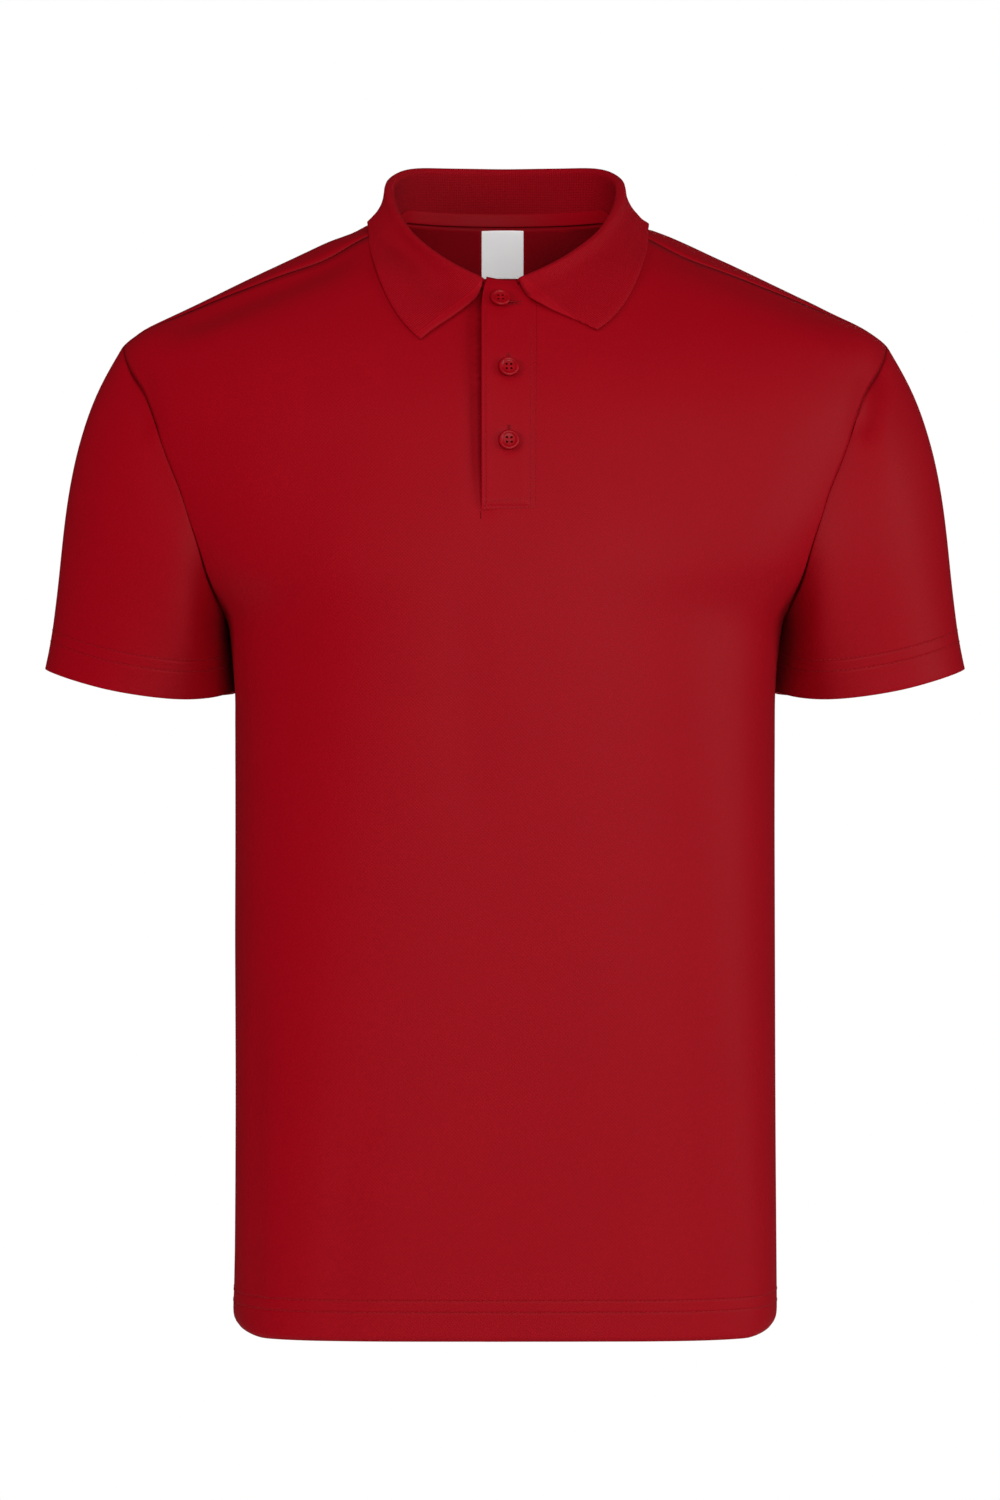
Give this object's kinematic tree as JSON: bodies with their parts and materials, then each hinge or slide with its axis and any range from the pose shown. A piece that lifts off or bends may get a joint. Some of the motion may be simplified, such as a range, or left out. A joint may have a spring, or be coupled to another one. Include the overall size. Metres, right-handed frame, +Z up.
{
  "type": "polo shirt",
  "caption": "Short-sleeved knit polo shirt, filled out with no wearer: folded rib collar, buttoned half placket, set-in sleeves, forward shoulder seams, straight hem.",
  "frame": {"origin": "between the shoulders at the base of the neck, level with the neck side of the shoulder seams, inside the neck opening", "axes": "+X to the wearer's left, +Y to the back, +Z up; the front faces -Y"},
  "size_m": [0.6112, 0.2508, 0.7714],
  "materials": {
    "jersey": "deep red fine cotton knit, matt",
    "rib": "deep red flat-knit rib, matt",
    "label": "plain white woven tape, matt",
    "button": "deep red moulded resin, satin"
  },
  "bodies": {
    "root": {"front": "jersey", "back": "jersey", "sleeve_left": "jersey", "sleeve_right": "jersey", "collar": "rib", "placket_over": "jersey", "placket_under": "jersey", "neck_tape": "jersey", "label": "label", "button_1": "button", "button_2": "button", "button_3": "button"}
  },
  "joints": []
}
